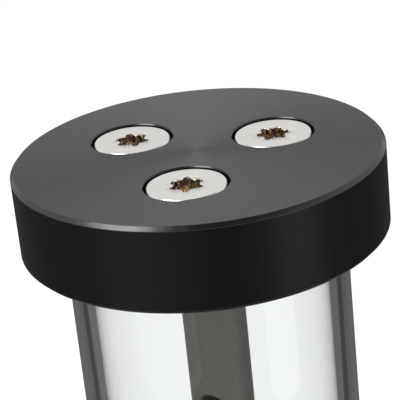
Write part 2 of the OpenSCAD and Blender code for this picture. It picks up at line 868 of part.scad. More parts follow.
module back_cover() {
    color("#26272a")
        difference() {
            bar(housing_r, cover_z, cover_t);
            bar(dial_d / 2 + 0.3, cover_z - cut, dial_pocket_t + cut);
            bar(dial_spindle_d / 2 + running_gap, cover_z, cover_t + cut);
            around(quarter_angles, post_circle_r)
                translate([0, 0, cover_z]) flat_screw_cut(cover_screw_d, cover_t + cut);
        }
}

module cover_screws() {
    color("#b9bbbd")
        around(quarter_angles, post_circle_r)
            translate([0, 0, cover_z]) flat_screw(cover_screw_d, cover_t + post_h - 0.5);
}

module cable_gland() {
    inner = housing_r - housing_wall + push_gap;
    collar = housing_r + push_gap;
    nose = housing_r + gland_nose_l;
    color("#202020")
        difference() {
            union() {
                radial_bar(gland_d / 2, cable_angle, inner, nose, cable_z);
                radial_bar(gland_d / 2 + gland_lip, cable_angle, collar, collar + gland_lip_t, cable_z);
            }
            radial_bar(cable_hole_d / 2, cable_angle, inner - cut, nose + cut, cable_z);
        }
}

// ---- Shroud, grommet, screws and feet ----

// The sleeve of the grommet sits in the shroud's wall, with a lip at each end
grommet_r = cable_hole_d / 2 + grommet_wall;
grommet_lip_r = grommet_r + grommet_lip;
// The inner lip clears the hollow of the wall at its widest chord
grommet_inner_x = sqrt(pow(shroud_r, 2) - pow(grommet_lip_r, 2)) - seal_gap;
grommet_outer_x = sqrt(pow(body_r, 2) - pow(grommet_lip_r, 2)) - seal_gap;

module cable_grommet() {
    color("#202020")
        difference() {
            union() {
                radial_bar(grommet_r, cable_angle, grommet_inner_x - lip_t, grommet_outer_x, cable_z);
                radial_bar(grommet_lip_r, cable_angle, grommet_inner_x - lip_t, grommet_inner_x, cable_z);
                radial_bar(grommet_lip_r, cable_angle, grommet_outer_x - lip_t, grommet_outer_x, cable_z);
            }
            radial_bar(cable_hole_d / 2, cable_angle, grommet_inner_x - lip_t - cut, body_r + cut, cable_z);
        }
}

// An air slot with round ends, cut through the wall along +X
module slot_cut() {
    straight = slot_h - slot_w;
    mid_z = floor_z + floor_t + slot_rise;
    translate([shroud_r - cut, -slot_w / 2, mid_z - straight / 2])
        cube([shroud_wall + 2 * cut, slot_w, straight]);
    for (z = [mid_z - straight / 2, mid_z + straight / 2])
        radial_bar(slot_w / 2, 0, shroud_r - cut, body_r + cut, z);
}

module pump_shroud() {
    slot_step = 360 / slot_count;
    color("#1c1c1d")
        difference() {
            drum(body_r, floor_z, side_z - floor_z, edge_chamfer / 2, edge_chamfer / 2, edge_chamfer);
            bar(shroud_r, floor_z + floor_t, side_z - floor_z);
            bar(floor_hole_d / 2, floor_z - cut, floor_t + 2 * cut);
            for (i = [0:slot_count - 1])
                if (abs(i * slot_step - cable_angle) > plain_span)
                    rotate([0, 0, i * slot_step]) slot_cut();
            radial_bar(grommet_r + push_gap, cable_angle, shroud_r - cut, body_r + cut, cable_z);
            radial_bar(grommet_lip_r + push_gap, cable_angle, grommet_outer_x - lip_t - seal_gap,
                       body_r + cut, cable_z);
            around(mount_angles, mount_pcd / 2) bar(mount_hole_d / 2, floor_z - cut, floor_t + 2 * cut);
            around(quarter_angles, foot_circle_r)
                bar(foot_stem_d / 2 + screw_gap, floor_z - cut, floor_t + 2 * cut);
            for (a = quarter_angles)
                rotate([0, 0, a])
                    translate([body_r - screw_sink, 0, side_z - spigot_h / 2])
                        rotate([0, -90, 0]) flat_screw_cut(shroud_screw_d, shroud_wall + cut);
        }
}

module shroud_screws() {
    color("#b9bbbd")
        for (a = quarter_angles)
            rotate([0, 0, a])
                translate([body_r - screw_sink, 0, side_z - spigot_h / 2])
                    rotate([0, -90, 0]) flat_screw(shroud_screw_d, shroud_screw_l);
}

module rubber_feet() {
    color("#181818")
        around(quarter_angles, foot_circle_r) {
            drum(foot_d / 2, 0, foot_h, 0.2, 0.2, 0.3);
            bar(foot_stem_d / 2, foot_h - 0.1, floor_t + 0.2);
            translate([0, 0, foot_h + floor_t + seal_gap])
                cylinder(r1 = foot_stem_d / 2 + 0.6, r2 = foot_stem_d / 2 - 0.4, h = 1.2);
        }
}

top_cap();
port_plug_left();
port_plug_right();
port_plug_front();
plug_seal_left();
plug_seal_right();
plug_seal_front();
glass_tube();
cap_gasket();
base_gasket();
cap_glass_seal();
base_glass_seal();
riser();
upper_riser_seal();
lower_riser_seal();
base_body();
pump_seal();
clamp_ring();
clamp_screws();
pump_housing();
separator_can();
rotor_shaft();
rotor_magnet();
rotor_bush();
impeller();
thrust_washer();
stator_core();
stator_windings();
control_board();
dial_potentiometer();
speed_dial();
back_cover();
cover_screws();
cable_gland();
cable_grommet();
pump_shroud();
shroud_screws();
rubber_feet();
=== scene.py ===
# Coolant pump reservoir: camera, light, visible pieces and finishes, in metres.
import json
from math import cos, exp, log, pi, radians, sin, sqrt, tan

import bmesh
import bpy
from mathutils import Matrix, Vector


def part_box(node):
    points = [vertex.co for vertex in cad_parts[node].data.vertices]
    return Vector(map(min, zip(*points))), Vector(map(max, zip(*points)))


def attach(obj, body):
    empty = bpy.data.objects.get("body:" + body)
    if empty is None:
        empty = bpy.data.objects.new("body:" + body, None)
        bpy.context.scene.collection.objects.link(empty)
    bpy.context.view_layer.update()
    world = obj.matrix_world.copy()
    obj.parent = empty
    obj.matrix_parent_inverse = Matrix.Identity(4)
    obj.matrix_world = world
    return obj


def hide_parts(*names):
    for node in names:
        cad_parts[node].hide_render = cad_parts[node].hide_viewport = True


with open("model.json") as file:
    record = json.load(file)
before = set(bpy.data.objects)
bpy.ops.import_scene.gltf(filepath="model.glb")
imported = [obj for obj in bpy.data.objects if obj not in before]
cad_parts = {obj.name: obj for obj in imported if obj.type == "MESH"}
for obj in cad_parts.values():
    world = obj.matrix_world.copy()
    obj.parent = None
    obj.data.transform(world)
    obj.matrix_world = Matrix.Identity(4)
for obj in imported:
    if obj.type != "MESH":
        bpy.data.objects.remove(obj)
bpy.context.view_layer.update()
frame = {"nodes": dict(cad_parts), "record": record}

mm = 0.001


# ---- Camera ----
# A long lens stands a third of a metre from the cap and looks down at it.
# It is turned a little to the right of the front plug and leans slightly.

top_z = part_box("top_cap")[1].z
camera_heading = 9.26
camera_pitch = 22.674
camera_lean = 6.088
camera_x, camera_y, camera_over_cap = 56.83, -351.66, 136.70


def show(name, data):
    """Puts an object that holds this data in the scene."""
    thing = bpy.data.objects.new(name, data)
    bpy.context.scene.collection.objects.link(thing)
    return thing


camera = show("camera", bpy.data.cameras.new("camera"))
camera.data.lens = 152.16
camera.data.sensor_width = 36
camera.matrix_world = (
    Matrix.Translation((camera_x * mm, camera_y * mm, top_z + camera_over_cap * mm))
    @ Matrix.Rotation(radians(camera_heading), 4, "Z")
    @ Matrix.Rotation(radians(90 - camera_pitch), 4, "X")
    @ Matrix.Rotation(radians(-camera_lean), 4, "Z")
)
bpy.context.scene.camera = camera


# ---- Studio ----
# A white room: a pale floor, a large soft lamp above on the left, and tall soft
# strips that stand right and left of the camera and show along the turned sides.

bpy.context.scene.view_settings.view_transform = "Standard"


def wire(tree, kind, values=(), inputs=()):
    """Adds a node to the tree, sets its sockets and plain properties, and links its inputs."""
    node = tree.nodes.new(kind)
    for key, value in dict(values).items():
        if isinstance(key, str) and hasattr(node, key) and key not in node.inputs:
            setattr(node, key, value)
        else:
            node.inputs[key].default_value = value
    for key, source in dict(inputs).items():
        tree.links.new(source, node.inputs[key])
    return node


def result(tree, operation, first, second=0.0):
    """The result of a Math node on one or two sockets or numbers."""
    node = tree.nodes.new("ShaderNodeMath")
    node.operation = operation
    for i, source in enumerate((first, second)):
        if isinstance(source, (int, float)):
            node.inputs[i].default_value = source
        else:
            tree.links.new(source, node.inputs[i])
    return node.outputs[0]


def ramp(tree, value, stops):
    """A colour ramp on a value, through stops of (position, colour) in rising order."""
    node = wire(tree, "ShaderNodeValToRGB", (), {0: value})
    points = node.color_ramp.elements
    points[0].position, points[1].position = stops[0][0], stops[-1][0]
    for position, _ in stops[1:-1]:
        points.new(position)
    for point, (_, colour) in zip(points, stops):
        point.color = (*colour, 1)
    return node.outputs[0]


# To the camera the room is white. In reflections its wall is pale and its ceiling dark,
# so that turned edges stand out. To every other ray it gives an even light.
world = bpy.data.worlds.new("white_room")
world.use_nodes = True
room = world.node_tree
room.nodes.clear()
path = wire(room, "ShaderNodeLightPath")
way = wire(room, "ShaderNodeTexCoord")
up = wire(room, "ShaderNodeSeparateXYZ", (), {0: way.outputs["Generated"]})
wall = ramp(room, up.outputs["Z"], [(sine, (level,) * 3) for sine, level in (
    (0.0, 0.72), (0.29, 0.74), (0.40, 0.95), (0.60, 0.95), (0.86, 0.08))])
mirrored = result(room, "MULTIPLY", wall, path.outputs["Is Glossy Ray"])
direct = result(room, "MAXIMUM", path.outputs["Is Camera Ray"], path.outputs["Is Transmission Ray"])
seen = result(room, "MAXIMUM", direct, path.outputs["Is Glossy Ray"])
soft = wire(room, "ShaderNodeBackground", {"Color": (0.96, 0.98, 1, 1), "Strength": 0.6})
white = wire(room, "ShaderNodeBackground", {"Color": (1, 1, 1, 1)},
             {"Strength": result(room, "MAXIMUM", direct, mirrored)})
both = wire(room, "ShaderNodeMixShader", (), {0: seen, 1: soft.outputs[0], 2: white.outputs[0]})
wire(room, "ShaderNodeOutputWorld", (), {"Surface": both.outputs[0]})
bpy.context.scene.world = world

# The floor is white to the eye and through clear glass, and dark where it is reflected.
floor_paint = bpy.data.materials.new("floor_paint")
floor_paint.use_nodes = True
paint = floor_paint.node_tree
paint.nodes.clear()
path = wire(paint, "ShaderNodeLightPath")
in_metal = result(paint, "MINIMUM", path.outputs["Glossy Depth"], 1)
not_metal = result(paint, "SUBTRACT", 1, in_metal)
through = result(paint, "MULTIPLY", path.outputs["Is Transmission Ray"], not_metal)
matt_pale = wire(paint, "ShaderNodeBsdfDiffuse", {"Color": (0.74, 0.74, 0.74, 1)})
matt_dark = wire(paint, "ShaderNodeBsdfDiffuse", {"Color": (0.16, 0.155, 0.15, 1)})
matt = wire(paint, "ShaderNodeMixShader", (),
            {0: in_metal, 1: matt_pale.outputs[0], 2: matt_dark.outputs[0]})
glow = wire(paint, "ShaderNodeEmission", {"Color": (1, 1, 1, 1), "Strength": 1.3})
lift = result(paint, "MULTIPLY", result(paint, "MAXIMUM", path.outputs["Is Camera Ray"], through), 0.66)
lit = wire(paint, "ShaderNodeMixShader", (), {0: lift, 1: matt.outputs[0], 2: glow.outputs[0]})
facing = wire(paint, "ShaderNodeNewGeometry")
clear = wire(paint, "ShaderNodeBsdfTransparent")
one_sided = wire(paint, "ShaderNodeMixShader", (),
                 {0: facing.outputs["Backfacing"], 1: lit.outputs[0], 2: clear.outputs[0]})
wire(paint, "ShaderNodeOutputMaterial", (), {"Surface": one_sided.outputs[0]})
floor_mesh = bpy.data.meshes.new("studio_floor")
floor_mesh.from_pydata([(-4, -4, 0), (4, -4, 0), (4, 4, 0), (-4, 4, 0)], [], [(0, 1, 2, 3)])
floor_mesh.materials.append(floor_paint)
studio_floor = show("studio_floor", floor_mesh)


def soft_lamp(name, azimuth, elevation, distance, wide, high, level, aim_z):
    """A soft lamp that looks at the object's axis. level is the brightness of its face."""
    lamp = bpy.data.lights.new(name, "AREA")
    lamp.shape = "RECTANGLE"
    lamp.size, lamp.size_y = wide, high
    lamp.energy = level * pi * wide * high
    a, e = radians(azimuth), radians(elevation)
    way = Vector((cos(a) * cos(e), sin(a) * cos(e), sin(e)))
    holder = show(name, lamp)
    holder.matrix_world = (Matrix.Translation(Vector((0, 0, aim_z)) + way * distance)
                           @ way.to_track_quat("Z", "Y").to_matrix().to_4x4())
    holder.visible_camera = False
    holder.visible_transmission = False


soft_lamp("key_lamp", azimuth=213, elevation=57, distance=1.1,
          wide=0.52, high=0.5, level=8.0, aim_z=0.22)
soft_lamp("right_strip", azimuth=331, elevation=4, distance=0.36,
          wide=0.17, high=0.34, level=1.15, aim_z=0.16)
soft_lamp("left_strip", azimuth=240, elevation=4, distance=0.36,
          wide=0.34, high=0.34, level=0.52, aim_z=0.16)


# ---- Top cap ----
# The cap is turned from a bar of black acetal and has three counterbored ports.
# Its face keeps the fine rings of the lathe tool, and its side is cut smoother.


def outward(form, name):
    """Ends a bmesh as a mesh with its faces turned outwards."""
    bmesh.ops.recalc_face_normals(form, faces=form.faces)
    mesh = bpy.data.meshes.new(name)
    form.to_mesh(mesh)
    form.free()
    return mesh


def lathe(name, rings, steps, closed=False):
    """A mesh turned round +Z from (radius, height) pairs in mm. A radius may be a function of the angle."""
    form = bmesh.new()
    rows = []
    for radius, z in rings:
        if radius == 0:
            rows.append([form.verts.new((0, 0, z * mm))] * steps)
            continue
        row = []
        for i in range(steps):
            a = 2 * pi * i / steps
            r = (radius(a) if callable(radius) else radius) * mm
            row.append(form.verts.new((r * cos(a), r * sin(a), z * mm)))
        rows.append(row)
    if closed:
        rows.append(rows[0])
    for low, high in zip(rows, rows[1:]):
        for i in range(steps):
            j = (i + 1) % steps
            corners = []
            for v in (low[i], low[j], high[j], high[i]):
                if v not in corners:
                    corners.append(v)
            if len(corners) > 2:
                form.faces.new(corners)
    return outward(form, name)


def eased(corners, steps=3):
    """Rounds a profile: each corner is (radius, height) or (radius, height, rounding)."""
    out = []
    for i, corner in enumerate(corners):
        here = Vector(corner[:2])
        ease = corner[2] if len(corner) > 2 else 0
        if not ease or i in (0, len(corners) - 1):
            out.append(tuple(here))
            continue
        back = Vector(corners[i - 1][:2]) - here
        on = Vector(corners[i + 1][:2]) - here
        back.normalize()
        on.normalize()
        half = back.angle(on) / 2
        reach = ease / tan(half)
        middle = here + (back + on).normalized() * (ease / sin(half))
        first, last = here + back * reach - middle, here + on * reach - middle
        sweep = first.angle_signed(last)
        for k in range(steps + 1):
            turn = Matrix.Rotation(-sweep * k / steps, 2)
            out.append(tuple(middle + turn @ first))
    return out


def place(name, mesh, at=(0, 0, 0), turn=0):
    """Puts a mesh in the scene with its place and turn in its vertices."""
    mesh.transform(Matrix.Translation(Vector(at) * mm) @ Matrix.Rotation(radians(turn), 4, "Z"))
    return show(name, mesh)


def settle(piece):
    """Turns a piece with modifiers into a plain mesh, without its modifiers."""
    bpy.context.view_layer.update()
    done = bpy.data.meshes.new_from_object(
        piece.evaluated_get(bpy.context.evaluated_depsgraph_get()))
    piece.modifiers.clear()
    piece.data = done


def polish(piece, angle=32):
    """Smooth shading that keeps flat faces flat and hard edges sharp."""
    piece.data.shade_smooth()
    piece.data.set_sharp_from_angle(angle=radians(angle))
    even = piece.modifiers.new("even", "WEIGHTED_NORMAL")
    even.keep_sharp = True
    even.weight = 60
    settle(piece)


def cut_away(piece, tools):
    """Cuts the tools' shapes out of a piece and removes the tools."""
    for tool in tools:
        knife = piece.modifiers.new("cut", "BOOLEAN")
        knife.operation = "DIFFERENCE"
        knife.solver = "EXACT"
        knife.object = tool
    settle(piece)
    for tool in tools:
        bpy.data.objects.remove(tool)


def finish_faces(piece, finishes, pick):
    """Gives each face one of the finishes. pick(centre, normal) in mm returns its number."""
    piece.data.materials.clear()
    for material in finishes:
        piece.data.materials.append(material)
    for face in piece.data.polygons:
        face.material_index = pick(face.center / mm, face.normal)


def surface(name, **sockets):
    """A material with one Principled shader: returns the material, its tree and the shader."""
    material = bpy.data.materials.new(name)
    material.use_nodes = True
    tree = material.node_tree
    shader = tree.nodes["Principled BSDF"]
    for key, value in sockets.items():
        shader.inputs[key.replace("_", " ").title().replace("Ior", "IOR")].default_value = value
    return material, tree, shader


def spot(tree, centre=(0, 0, 0), scale=(1, 1, 1)):
    """Object coordinates in mm, measured from centre and then scaled."""
    where = wire(tree, "ShaderNodeTexCoord")
    shift = wire(tree, "ShaderNodeVectorMath", {"operation": "SUBTRACT", 1: [c * mm for c in centre]},
                 {0: where.outputs["Object"]})
    return wire(tree, "ShaderNodeVectorMath", {"operation": "MULTIPLY", 1: [s / mm for s in scale]},
                {0: shift.outputs[0]}).outputs[0]


def radius_of(tree, centre=(0, 0, 0)):
    """Distance from a vertical axis through centre, in mm."""
    flat = spot(tree, centre, (1, 1, 0))
    return wire(tree, "ShaderNodeVectorMath", {"operation": "LENGTH"}, {0: flat}).outputs["Value"]


def noise(tree, vector, scale, detail=2.0, rough=0.5):
    """Smooth noise of that scale, per mm."""
    return wire(tree, "ShaderNodeTexNoise", {"Scale": scale, "Detail": detail, "Roughness": rough},
                {"Vector": vector}).outputs["Fac"]


def lines(tree, distance, per_mm, detail=3.0):
    """Uneven fine lines across a distance in mm, as a tool or a brush leaves them."""
    return wire(tree, "ShaderNodeTexNoise",
                {"noise_dimensions": "1D", "Scale": per_mm, "Detail": detail, "Roughness": 0.7},
                {"W": distance}).outputs["Fac"]


def spread(tree, value, low, high, from_low=0.3, from_high=0.7):
    """Maps a value to the range from low to high."""
    return wire(tree, "ShaderNodeMapRange",
                {"From Min": from_low, "From Max": from_high, "To Min": low, "To Max": high},
                {"Value": value}).outputs[0]


def blend_colours(tree, amount, first, second):
    """A colour between two, by amount."""
    mix = wire(tree, "ShaderNodeMix", {"data_type": "RGBA"}, {0: amount})
    mix.inputs[6].default_value = (*first, 1)
    mix.inputs[7].default_value = (*second, 1)
    return mix.outputs[2]


def relief(tree, height, depth, strength=1.0, under=None):
    """A bump of that depth in mm."""
    values = {"Strength": strength, "Distance": depth * mm}
    inputs = {"Height": height}
    if under:
        inputs["Normal"] = under
    return wire(tree, "ShaderNodeBump", values, inputs).outputs[0]


def feed(tree, shader, **sources):
    """Links outputs to the shader's sockets."""
    for key, source in sources.items():
        tree.links.new(source, shader.inputs[key.replace("_", " ").title()])


def turned_face(name):
    """Black acetal faced on a lathe: fine rings round the axis and a dull sheen."""
    material, tree, shader = surface(name, roughness=0.3, anisotropic=0.75, ior=1.46)
    rings = lines(tree, radius_of(tree), 3.2)
    cloud = noise(tree, spot(tree), 0.06, 3)
    feed(tree, shader,
         base_color=blend_colours(tree, cloud, (0.006, 0.006, 0.0065), (0.016, 0.016, 0.017)),
         roughness=spread(tree, rings, 0.27, 0.35),
         normal=relief(tree, rings, 0.004, 0.7))
    return material


def turned_side(name, darkest=0.0035, palest=0.006):
    """Black acetal turned to size: level rings up the side, smoother than a face. Its colour is set darker
    than the face's, as painted shade on the sides.
    """
    material, tree, shader = surface(name, roughness=0.36, anisotropic=0.3, ior=1.46)
    shader.inputs["Specular IOR Level"].default_value = 0.26
    height = wire(tree, "ShaderNodeSeparateXYZ", (), {0: spot(tree)}).outputs["Z"]
    rings = lines(tree, height, 4)
    cloud = noise(tree, spot(tree, scale=(1, 1, 0.3)), 0.08, 3)
    # Painted shade: the side's colour is darker than the face's turned acetal.
    feed(tree, shader,
         base_color=blend_colours(tree, cloud, (darkest,) * 3, (palest, palest, palest * 1.05)),
         roughness=spread(tree, rings, 0.32, 0.42),
         normal=relief(tree, rings, 0.006, 0.6))
    return material


def cut_edge(name):
    """The small chamfers: a fresh cut with a brighter, smoother gloss."""
    material, tree, shader = surface(name, roughness=0.2, anisotropic=0.3, ior=1.56)
    cloud = noise(tree, spot(tree), 0.35, 4)
    # Painted shade: the chamfers' colour is set darker than the face's acetal, keeping them dark outside
    # the lamp's highlight.
    feed(tree, shader,
         base_color=blend_colours(tree, cloud, (0.004, 0.004, 0.004), (0.008, 0.008, 0.008)),
         roughness=spread(tree, cloud, 0.17, 0.26))
    return material


acetal_face = turned_face("acetal_face")
acetal_side = turned_side("acetal_side")
acetal_edge = cut_edge("acetal_edge")

body_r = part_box("top_cap")[1].x / mm
cap_top = top_z / mm
cap_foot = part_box("top_cap")[0].z / mm
plug_circle = 19.0
port_angles = {"right": 30, "left": 150, "front": 270}
counterbore_r = 9.5
counterbore_z = cap_top - 4.6
port_r = 6.6

groove_out, groove_in, groove_d = 32.8, 27.2, 9
seal_r = 25.45
hollow_out, hollow_in, hollow_d = 22, 11, 7.5
seat_r, seat_seal_r, seat_d = 7.55, 9.05, 12

cap = place("cap", lathe("cap", eased([
    (0, cap_top), (body_r - 0.8, cap_top, 0.1), (body_r, cap_top - 0.9, 0.22),
    (body_r, cap_foot + 1, 0.15), (body_r - 1, cap_foot, 0.15),
    (groove_out, cap_foot, 0.25), (groove_out, cap_foot + groove_d), (groove_in, cap_foot + groove_d),
    (groove_in, cap_foot + 4.9), (seal_r, cap_foot + 4.9),
    (seal_r, cap_foot + 2.1), (groove_in, cap_foot + 2.1), (groove_in, cap_foot, 0.4),
    (hollow_out, cap_foot, 0.25), (hollow_out, cap_foot + hollow_d, 0.5),
    (hollow_in, cap_foot + hollow_d, 0.5), (hollow_in, cap_foot, 0.25),
    (seat_r, cap_foot, 0.4), (seat_r, cap_foot + 1.45), (seat_seal_r, cap_foot + 1.45),
    (seat_seal_r, cap_foot + 3.55), (seat_r, cap_foot + 3.55),
    (seat_r, cap_foot + seat_d), (0, cap_foot + seat_d),
]), 288))
cutters = []
for angle in port_angles.values():
    a = radians(angle)
    cutters.append(place("cutter", lathe("cutter", eased([
        (0, cap_foot + 7), (port_r, cap_foot + 7), (port_r, counterbore_z - 0.5),
        (port_r + 0.5, counterbore_z), (counterbore_r, counterbore_z, 0.2),
        (counterbore_r, cap_top - 0.25, 0.12), (counterbore_r + 0.75, cap_top + 0.5), (0, cap_top + 0.5),
    ]), 160), (plug_circle * cos(a), plug_circle * sin(a), 0)))
cut_away(cap, cutters)


def cap_finish(centre, normal):
    """0 for the turned face, 1 for the side and inside, 2 for the chamfers."""
    if centre.z > cap_top - 1 and 0.1 < abs(normal.z) < 0.96:
        return 2
    if centre.z < cap_foot + 1.1 and centre.xy.length > 41:
        return 2
    return 0 if normal.z > 0.9 else 1


polish(cap)
finish_faces(cap, [acetal_face, acetal_side, acetal_edge], cap_finish)
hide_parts("top_cap")
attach(cap, "reservoir")


# ---- Port plugs ----
# Three flush plugs of nickel-plated brass close the filling ports. Each has a
# six-lobed socket, a flat faced head and a short G1/4 thread.

plug_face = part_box("port_plug_left")[1].z / mm
plug_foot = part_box("port_plug_left")[0].z / mm
thread_pitch = 1.337


def lobed(across_lobes, across_flutes):
    """Radius of a six-lobed socket at an angle, with softened corners."""
    scoop = across_lobes * 0.16
    far = across_flutes / 2 + scoop

    def radius(a):
        d = (a - pi / 6) % (pi / 3)
        d = min(d, pi / 3 - d)
        inside = scoop ** 2 - (far * sin(d)) ** 2
        if inside <= 0:
            return across_lobes / 2
        near = far * cos(d) - sqrt(inside)
        sharp = 5.0
        return -log(exp(-sharp * near) + exp(-sharp * across_lobes / 2)) / sharp
    return radius


def threaded(crest, depth, z, ends, start=0.0):
    """Radius at an angle of a screw thread at height z, fading out at both ends."""
    fade = max(0.0, min(1.0, (z - ends[0]) / 0.7, (ends[1] - z) / 0.7))

    def radius(a):
        wave = (z / thread_pitch - a / (2 * pi) + start) % 1
        ramp = min(wave, 1 - wave) * 2
        valley = max(0.0, min(1.0, (ramp - 0.12) / 0.76))
        return crest - depth * valley * fade
    return radius


def plug_mesh(name):
    """The plug, from the middle of its socket's floor out over the head and down the thread."""
    lobes, flutes, lip = 7.8, 5.7, 0.16
    flare = lobed(lobes + lip, flutes + lip)
    wall = lobed(lobes, flutes)
    floor_z = plug_face - 4.5
    shank = 6.52
    head_r = 9
    head = plug_face - 3.2
    rings = [(0, floor_z - 0.6), (2.0, floor_z - 0.2), (lambda a: wall(a) * 0.96, floor_z),
             (wall, floor_z + 0.15)]
    rings += [(wall, z) for z in (floor_z + 1.6, plug_face - 0.1)]
    rings += [(flare, plug_face - 0.02), (lambda a: flare(a) + 0.04, plug_face)]
    rings += eased([
        (4.6, plug_face), (5.6, plug_face), (head_r - 0.35, plug_face, 0.1),
        (head_r, plug_face - 0.35, 0.1), (head_r, head + 0.18, 0.05), (head_r - 0.18, head),
        (shank - 0.35, head), (shank - 0.35, head - 0.6)])[1:]
    low, high = plug_foot + 0.15, head - 0.9
    thread_steps, thread_depth = 62, 0.72
    for k in range(thread_steps + 1):
        z = high - (high - low) * k / thread_steps
        rings.append((threaded(shank, thread_depth, z, (low - 0.25, high + 0.3)), z))
    rings += [(shank - 0.8, plug_foot), (3.4, plug_foot), (3.2, plug_foot + 0.2), (0, plug_foot + 0.9)]
    return lathe(name, rings, 144)


def nickel(name, centre):
    """Nickel plate over a turned head: bright, warm, with faint rings round its own axis."""
    material, tree, shader = surface(name, metallic=1.0, anisotropic=0.35)
    rings = lines(tree, radius_of(tree, centre), 4)
    cloud = noise(tree, spot(tree), 0.18, 4)
    feed(tree, shader,
         base_color=blend_colours(tree, cloud, (0.73, 0.71, 0.68), (0.79, 0.775, 0.75)),
         roughness=spread(tree, rings, 0.16, 0.24),
         normal=relief(tree, rings, 0.002, 0.6))
    return material


def shaded_socket(name):
    """Nickel inside the socket, coloured darker and warmer than the head as painted shade in the recess;
    the walls keep broaching marks.
    """
    material, tree, shader = surface(name, metallic=1.0)
    cloud = noise(tree, spot(tree), 1.2, 4)
    marks = noise(tree, spot(tree, scale=(1, 1, 0.1)), 5, 3)
    # Painted shade: a darker, warmer colour than the head's nickel, for the inside of the recess.
    feed(tree, shader,
         base_color=blend_colours(tree, cloud, (0.60, 0.51, 0.42), (0.78, 0.70, 0.61)),
         roughness=spread(tree, marks, 0.06, 0.16),
         normal=relief(tree, marks, 0.02, 0.5))
    return material


def plug_finish(middle):
    """Picks 1 for the faces of the socket and 0 for the rest of the plug."""
    socket_reach = 4.05

    def pick(centre, _):
        near = (centre - Vector(middle)).xy.length < socket_reach
        return 1 if near and plug_face - 5.5 < centre.z < plug_face - 0.06 else 0
    return pick


socket_metal = shaded_socket("socket_metal")
plug_spins = {"right": 45, "left": 20, "front": 5}
for side, angle in port_angles.items():
    a = radians(angle)
    middle = (plug_circle * cos(a), plug_circle * sin(a), 0)
    plug = place("plug_" + side, plug_mesh("plug_" + side), middle, angle + plug_spins[side])
    polish(plug, 38)
    finish_faces(plug, [nickel("nickel_" + side, middle), socket_metal], plug_finish(middle))
    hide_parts("port_plug_" + side)
    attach(plug, side + "_plug")


# ---- Port threads ----
# The plugs screw into G1/4 threads, which are tapped into the cap's three ports
# and into the two coolant ports in the side of the base.


def node_group(name, sizes):
    """A Geometry Nodes tree with a named input for each size: returns tree, input and output."""
    group = bpy.data.node_groups.new(name, "GeometryNodeTree")
    group.interface.new_socket("Geometry", in_out="INPUT", socket_type="NodeSocketGeometry")
    for label, (kind, value) in sizes.items():
        socket = group.interface.new_socket(label, in_out="INPUT", socket_type="NodeSocket" + kind)
        if value is not None:
            socket.default_value = value
    group.interface.new_socket("Geometry", in_out="OUTPUT", socket_type="NodeSocketGeometry")
    return group, group.nodes.new("NodeGroupInput"), group.nodes.new("NodeGroupOutput")


def grow(piece, group, **sizes):
    """Runs a node tree on a piece with these sizes and keeps the mesh that it makes."""
    growth = piece.modifiers.new("growth", "NODES")
    growth.node_group = group
    names = {item.name: item.identifier for item in group.interface.items_tree if item.in_out == "INPUT"}
    for label, value in sizes.items():
        growth[names[label.replace("_", " ")]] = value
    settle(piece)


def finish_tree(group, geometry, source, out):
    """Ends a tree with plain geometry in the given finish."""
    real = wire(group, "GeometryNodeRealizeInstances", (), {"Geometry": geometry})
    dressed = wire(group, "GeometryNodeSetMaterial", (),
                   {"Geometry": real.outputs[0], "Material": source.outputs["Finish"]})
    group.links.new(dressed.outputs[0], out.inputs[0])


thread_tree, given, made = node_group("tapped_thread", {
    "Finish": ("Material", None), "Pitch": ("Float", thread_pitch * mm), "Turns": ("Float", 5.0),
    "Wall radius": ("Float", port_r * mm), "Ridge": ("Float", 0.6 * mm), "Start": ("Float", 0.0)})
helix = wire(thread_tree, "GeometryNodeCurveSpiral", {"Resolution": 60},
             {"Rotations": given.outputs["Turns"], "Start Radius": given.outputs["Wall radius"],
              "End Radius": given.outputs["Wall radius"],
              "Height": result(thread_tree, "MULTIPLY", given.outputs["Pitch"], given.outputs["Turns"])})
upright = wire(thread_tree, "GeometryNodeSetCurveNormal", {"mode": "Z_UP"}, {"Curve": helix.outputs[0]})
ridge = wire(thread_tree, "GeometryNodeCurvePrimitiveCircle", {"Resolution": 4},
             {"Radius": given.outputs["Ridge"]})
swept = wire(thread_tree, "GeometryNodeCurveToMesh", {"Fill Caps": True},
             {"Curve": upright.outputs[0], "Profile Curve": ridge.outputs[0]})
begin = wire(thread_tree, "ShaderNodeCombineXYZ", (), {"Z": given.outputs["Start"]})
started = wire(thread_tree, "GeometryNodeTransform", (),
               {"Geometry": swept.outputs[0], "Rotation": begin.outputs[0]})
finish_tree(thread_tree, started.outputs[0], given, made)


def tapped(name, turns, start):
    """A thread's ridge as a mesh that stands on z = 0 round +Z."""
    thread = show(name, bpy.data.meshes.new(name))
    grow(thread, thread_tree, Finish=acetal_side, Turns=turns, Start=start)
    mesh = thread.data
    bpy.data.objects.remove(thread)
    return mesh


thread_foot = cap_foot + 8.3
for side, angle in port_angles.items():
    a = radians(angle)
    middle = (plug_circle * cos(a), plug_circle * sin(a), thread_foot)
    # The ridge lies in the plug's valley, half a pitch from its crest
    phase = 2 * pi * ((thread_foot / thread_pitch + 0.5) % 1)
    thread = place("thread_" + side, tapped("thread_" + side, 4.2, phase), middle, angle + plug_spins[side])
    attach(thread, "reservoir")


# ---- Glass tube ----
# A length of clear borosilicate tube with ground ends, which is clamped between
# the cap and the base. Its sides are as smooth as they were drawn.

glass_low, glass_high = (c.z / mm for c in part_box("glass_tube"))
glass_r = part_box("glass_tube")[1].x / mm
glass_wall = 5.0
glass = place("glass", lathe("glass", [
    (glass_r - 0.3, glass_low), (glass_r, glass_low + 0.3), (glass_r, glass_high - 0.3),
    (glass_r - 0.3, glass_high), (glass_r - glass_wall + 0.3, glass_high),
    (glass_r - glass_wall, glass_high - 0.3), (glass_r - glass_wall, glass_low + 0.3),
    (glass_r - glass_wall + 0.3, glass_low)], 360, closed=True))
polish(glass)


